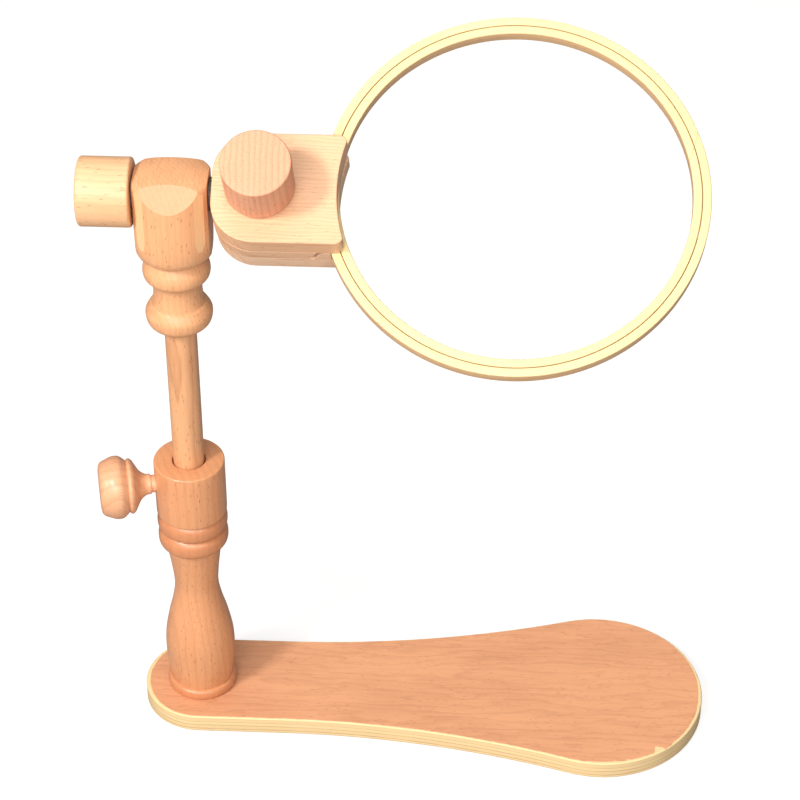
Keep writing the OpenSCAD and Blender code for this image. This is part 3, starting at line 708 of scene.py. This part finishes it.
sawn = fade(tree, cloud(tree, slant, (1, 1, 1), 3.0), 0.50, 0.66)
sawn = maths(tree, "MULTIPLY", sawn, fade(tree, away["Z"], 371.2, 372.0))
lean = maths(tree, "MULTIPLY_ADD", away["Z"], lean_z, -lean_z * block_z)
lean = maths(tree, "MULTIPLY_ADD", away["Y"], lean_y, lean)
lean = fade(tree, lean, lean_out - 0.06, lean_out - 0.03)
lit = mix(tree, maths(tree, "MULTIPLY", corner_highlight, 0.55), grain, (0.90, 0.60, 0.31))
lit = mix(tree, maths(tree, "MULTIPLY", lean, 0.5), lit, (0.62, 0.24, 0.105))
lit = mix(tree, maths(tree, "MULTIPLY", sawn, 0.45), lit, (0.50, 0.22, 0.10))
tree.links.new(lit, shader.inputs["Base Color"])
dress(head, head_beech)

# ---------------------------------------------------------------- tilt knob
# A plain turned beech knob with a brass insert. It runs on the tilt bolt and
# pulls the jaws, through the washers, against the side of the head.


def knob(name, radius, tall, low_edge, high_edge, hole, place):
    """A plain turned knob on its base, with a blind hole for its insert."""
    crown = tall + 0.05
    line = [(0, 17), (hole, 17), (hole, 0), (radius - low_edge - 4, 0)]
    line += arc(radius - low_edge, low_edge, low_edge, -90, 0, 11) + [(radius, tall / 2)]
    line += arc(radius - high_edge, tall - high_edge, high_edge, 0, 90, 11)
    line += [(radius * 0.6, crown), (0, crown)]
    return turned(name, thinned(line, 0.02), 112, place)


knob_place = tilt_place @ at(-20.6, 0, 0) @ Matrix.Rotation(radians(-90), 4, "Y")
tilt_knob = knob("tilt_knob_turning", 18.5, 28, 1.4, 1.6, 5, knob_place)
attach(tilt_knob, "tilt_knob")
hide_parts("tilt_knob")
knob_grain = knob_place.to_3x3() @ Matrix.Rotation(radians(100), 3, "Z")
tilt_knob_beech = beech("tilt_knob_beech", (0.82, 0.475, 0.25), (0.58, 0.27, 0.125), (-170, 14, 361),
                        knob_grain, 0.05, 0.08, Line_gap=3.6, Wander=2.0, Lines=0.28, Fibre=0.7, Flecks=0.9,
                        Patches=0.4, Lathe=0.3, Gloss=0.47)
dress(tilt_knob, tilt_knob_beech)
brass = metal_finish("plain_brass", (0.80, 0.60, 0.27), (0.52, 0.36, 0.15), 0.28)
# Painted shade: the two washers beside the head are very dark steel, standing in for the deep shadow in the
# gap between the head and the jaws.
shadow_dark_steel = metal_finish("shadow_dark_steel", (0.20, 0.18, 0.17), (0.11, 0.10, 0.09), 0.5)
dress(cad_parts["side_washer"], shadow_dark_steel)
dress(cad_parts["tilt_washer"], shadow_dark_steel)
dress(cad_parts["tilt_bolt"], zinc)
dress(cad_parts["tilt_knob_insert"], brass)

# ---------------------------------------------------------------- jaws
# Two beech plates with a spacer glued under the upper one. They are rounded at
# the head end and cut to the hoop's curve at the other. The spacer is open in
# the middle for the hoop's own screw, and the lower plate carries two pads.
jaw_mid = -2.8
hoop_x, hoop_y, hoop_z = 179, 3.4, -0.15  # the hoop's centre, along, across and above the tilt bolt
nose_r, corner_r, jaw_half, jaw_end = 22.3, 4.5, 30.5, 91.3
bolt_place = tilt_place @ at(47.3, jaw_mid, 0)


def jaw_outline(nose):
    """The plan of a jaw. The hoop's curve meets the corners 14 degrees round."""
    meet, side, end = 17.14, jaw_half - corner_r, jaw_end - corner_r
    line = arc(nose + nose_r, jaw_half - nose_r, nose_r, 90, 180, 4)
    line += arc(nose + nose_r, nose_r - jaw_half, nose_r, 180, 270, 4)
    line += arc(end, -side, corner_r, 270, 346, 9)
    line += arc(hoop_x, 0, 91.9, 180 + meet, 180 - meet, 1.2)
    line += arc(end, side, corner_r, 14, 90, 9)
    return thinned([(x, y + jaw_mid) for x, y in line], 0.05)


def box(x, y, z, long, wide, tall):
    """A square cutting tool about its middle, in millimetres."""
    bpy.ops.mesh.primitive_cube_add(size=1, location=(x * mm, y * mm, z * mm))
    bpy.context.object.scale = (long * mm, wide * mm, tall * mm)
    return settle(bpy.context.object)


def saw_step(piece, x, **cleared):
    """Saws a board along the sloping step between spacer and pads, where it crosses the jaws at x."""
    alone(piece, "EDIT")
    bpy.ops.mesh.select_all(action="SELECT")
    bpy.ops.mesh.bisect(plane_co=(x * mm, 0, -4 * mm), plane_no=Vector((8, 0, -4.4)).normalized(),
                        use_fill=True, threshold=1e-6, **cleared)
    bpy.ops.object.mode_set(mode="OBJECT")


def edge_test(p):
    """True for a point of a jaw's outside edge, as seen from the jaw's own place."""
    q = tilt_place.inverted() @ (p * mm) / mm
    return abs(q.y - jaw_mid) > 25 or q.x < 30 or q.x > 60


upper_jaw = settle(board("upper_jaw_plate", jaw_outline(22.3), 4, 17.2), tilt_place)
bore(upper_jaw, 4.3, 3, 19, bolt_place)
ease(upper_jaw, 0.7, 50, where=edge_test)
polish(upper_jaw)
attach(upper_jaw, "clamp")
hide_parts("upper_jaw")
jaw_grain = tilt_place.to_3x3() @ Matrix.Rotation(radians(90), 3, "Y") @ Matrix.Rotation(radians(84), 3, "Z")
upper_jaw_beech = beech("upper_jaw_beech", (0.83, 0.50, 0.29), (0.62, 0.295, 0.15), (-60, 10, 372), jaw_grain,
                        0.05, 0.06, Line_gap=2.0, Wander=2.2, Lines=0.42, Fibre=0.8, Flecks=0.5, Patches=0.35,
                        Gloss=0.46)
dress(upper_jaw, upper_jaw_beech)

spacer = board("spacer_plate", jaw_outline(22.3), -4, 4)
cut(spacer, box(91.3, jaw_mid, 0, 60, 46, 20))
saw_step(spacer, 73, clear_outer=True)
settle(spacer, tilt_place)
bore(spacer, 4.3, -5, 5, bolt_place)
bore(spacer, 3.05, 21, 34.4, along_bolt)
ease(spacer, 0.35, 40, where=lambda p: edge_test(p) and (tilt_place.inverted() @ (p * mm)).x > 22.4 * mm,
     segments=2)
polish(spacer)
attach(spacer, "clamp")
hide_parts("jaw_spacer")
spacer_beech = beech("spacer_beech", (0.80, 0.49, 0.30), (0.56, 0.28, 0.15), (-70, -25, 340), jaw_grain,
                     0.06, 0.05, Line_gap=3.3, Wander=1.6, Lines=0.4, Fibre=0.8, Flecks=0.7, Patches=0.5,
                     Gloss=0.5)
dress(spacer, spacer_beech)

lower_jaw = board("lower_jaw_plate", jaw_outline(22.9), -15.2, -4.3)
pads = board("lower_jaw_pads", jaw_outline(22.9), -4.9, 3.5)
saw_step(pads, 75.8, clear_inner=True)
cut(pads, box(91.3, jaw_mid, 0, 60, 46, 40))
bpy.ops.mesh.primitive_cylinder_add(vertices=256, radius=101.3 * mm, depth=40 * mm,
                                    location=(hoop_x * mm, hoop_y * mm, 15.7 * mm))
cut(pads, settle(bpy.context.object))
cut(lower_jaw, pads, "UNION")
settle(lower_jaw, tilt_place)
bore(lower_jaw, 4.05, -16, -3, bolt_place)
bore(lower_jaw, 8.05, -16.2, -11, bolt_place)
ease(lower_jaw, 0.5, 50, where=edge_test, segments=2)
polish(lower_jaw)
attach(lower_jaw, "lower_jaw")
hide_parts("lower_jaw")
lower_jaw_beech = beech("lower_jaw_beech", (0.86, 0.58, 0.39), (0.64, 0.35, 0.20), (-70, 25, 350), jaw_grain,
                        0.06, 0.05, Line_gap=3.0, Wander=1.6, Lines=0.4, Fibre=0.8, Flecks=0.7, Patches=0.5,
                        Gloss=0.5)
dress(lower_jaw, lower_jaw_beech)

# ---------------------------------------------------------------- clamp knob and bolt
# The clamp bolt comes up from the lower jaw through both plates. A turned
# beech knob with a brass insert runs down it on a washer and closes the jaws.
clamp_place = bolt_place @ at(0, 0, 18.7)
clamp_knob = knob("clamp_knob_turning", 18.3, 29, 1.2, 1.0, 6, clamp_place)
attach(clamp_knob, "clamp_knob")
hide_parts("clamp_knob")
clamp_grain = tilt_place.to_3x3() @ Matrix.Rotation(radians(2), 3, "Z")
clamp_knob_beech = beech("clamp_knob_beech", (0.80, 0.375, 0.222), (0.57, 0.215, 0.112), (-86, 0, 380),
                         clamp_grain, 0.06, 0.05, Line_gap=3.1, Wander=0.9, Lines=0.45, Fibre=0.7, Flecks=0.9,
                         Patches=0.3, Lathe=0.4, Gloss=0.5)
dress(clamp_knob, clamp_knob_beech)
dress(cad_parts["clamp_knob_insert"], brass)
dress(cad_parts["clamp_bolt"], zinc)
dress(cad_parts["clamp_washer"], zinc)

# ---------------------------------------------------------------- hoop
# Two steam-bent rings of thin laminated strip, scarfed and glued into circles.
# The inner one is whole. The outer one is split inside the clamp, where its
# screw draws it shut, and the cloth is gripped between the two.
hoop_place = tilt_place @ at(hoop_x, hoop_y, hoop_z)
outer_r, seam_r, inner_r = 101, 96.25, 91.5


def hoop_band(name, outside, inside, gap=0.0, round_r=0.7, steps=200):
    """Bends a flat strip with rounded corners into a ring, with an optional split facing the jaws."""
    top, out, into = 3.85 - round_r, outside - round_r, inside + round_r
    line = (arc(out, top, round_r, 0, 90, 22) + arc(into, top, round_r, 90, 180, 22)
            + arc(into, -top, round_r, 180, 270, 22) + arc(out, -top, round_r, 270, 360, 22))
    half = degrees(gap / 2 / outside)
    a = radians(180 + half)
    piece = trace(name, [(r * cos(a), r * sin(a), z) for r, z in line])
    bpy.ops.mesh.select_all(action="SELECT")
    bpy.ops.mesh.edge_face_add()  # closes the line, and the face itself isn't wanted
    bpy.ops.mesh.delete(type="ONLY_FACE")
    bpy.ops.mesh.select_all(action="SELECT")
    bpy.ops.mesh.spin(steps=steps, angle=radians(360 - 2 * half), center=(0, 0, 0), axis=(0, 0, 1))
    bpy.ops.mesh.select_all(action="SELECT")
    bpy.ops.mesh.remove_doubles(threshold=5e-6)
    if gap:
        bpy.ops.mesh.fill_holes(sides=0)
    bpy.ops.mesh.select_all(action="SELECT")
    bpy.ops.mesh.normals_make_consistent(inside=False)
    bpy.ops.object.mode_set(mode="OBJECT")
    settle(piece, hoop_place)
    alone(piece)
    bpy.ops.object.shade_smooth_by_angle(angle=radians(38))
    return piece


def hoop_wood(name, pale, dark, relief_mm, **values):
    """Beech strip bent round the hoop. Its grain runs along the ring, with a scarf joint at the right."""
    made, tree, shader, bump, coords = finish(name, relief_mm)
    own = add(tree, "ShaderNodeMapping", {"Vector": coords, "Location": hoop_place.translation,
                                          "Rotation": hoop_place.to_euler()}, vector_type="TEXTURE")
    part = axes(tree, own.outputs[0])
    angle = maths(tree, "ARCTAN2", part["Y"], part["X"])
    level = stretch(tree, own.outputs[0], (1, 1, 0))
    far = add(tree, "ShaderNodeVectorMath", {0: level}, operation="LENGTH").outputs["Value"]
    bent = add(tree, "ShaderNodeCombineXYZ", {"X": part["Z"], "Y": far,
                                              "Z": maths(tree, "MULTIPLY", angle, 0.0965)})
    grain = use(tree, beech_grain, Vector=bent.outputs[0], Pale=pale, Dark=dark, **values)
    radius = maths(tree, "MULTIPLY", far, 1000.0)
    slope = maths(tree, "MULTIPLY_ADD", maths(tree, "SUBTRACT", angle, 0.30), 60.0, seam_r)
    joint = fade(tree, maths(tree, "ABSOLUTE", maths(tree, "SUBTRACT", radius, slope)), 0.12, 0.38, 0.55, 0.0)
    lamina = maths(tree, "PINGPONG", maths(tree, "ADD", radius, 0.22), 0.78)
    lamina = fade(tree, lamina, 0.0, 0.12, 0.22, 0.0)
    seam = fade(tree, maths(tree, "ABSOLUTE", maths(tree, "SUBTRACT", radius, seam_r)), 0.1, 0.55, 0.75, 0.0)
    lines = maths(tree, "MAXIMUM", maths(tree, "MAXIMUM", joint, lamina), seam)
    tree.links.new(mix(tree, lines, grain.outputs["Color"], (0.36, 0.20, 0.10)), shader.inputs["Base Color"])
    tree.links.new(grain.outputs["Roughness"], shader.inputs["Roughness"])
    tree.links.new(maths(tree, "MULTIPLY_ADD", lines, -0.7, grain.outputs["Height"]), bump.inputs["Height"])
    return made


strip_edge = hoop_wood("hoop_strip_edge", (0.87, 0.70, 0.345), (0.72, 0.50, 0.21), 0.05, Line_gap=1.9,
                       Wander=0.5, Lines=0.16, Fibre=0.55, Flecks=0.25, Patches=0.35, Gloss=0.48)
strip_face = hoop_wood("hoop_strip_face", (0.76, 0.50, 0.27), (0.52, 0.28, 0.13), 0.05, Line_gap=2.6,
                       Wander=1.2, Lines=0.4, Fibre=0.8, Flecks=0.6, Patches=0.5, Gloss=0.42)
outer_ring = hoop_band("outer_ring_strip", outer_r, seam_r + 0.05, 5.0)
inner_ring = hoop_band("inner_ring_strip", seam_r - 0.05, inner_r)
for ring, node in ((outer_ring, "outer_ring"), (inner_ring, "inner_ring")):
    dress(ring, strip_edge, strip_face)
    for face in ring.data.polygons:  # the walls show the strip's face, the rest its sawn edge
        face.material_index = 0 if abs(face.normal.dot(hoop_place.to_3x3().col[2])) > 0.6 else 1
    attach(ring, "hoop")
    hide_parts(node)

# ---------------------------------------------------------------- hoop screw
# Two bent steel lugs on the ends of the outer ring, drawn together by a small
# brass screw and nut. All four lie inside the clamp's hollow.
for name in ("hoop_lug_front", "hoop_lug_back"):
    dress(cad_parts[name], zinc)
for name in ("hoop_screw", "hoop_nut"):
    dress(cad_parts[name], brass)
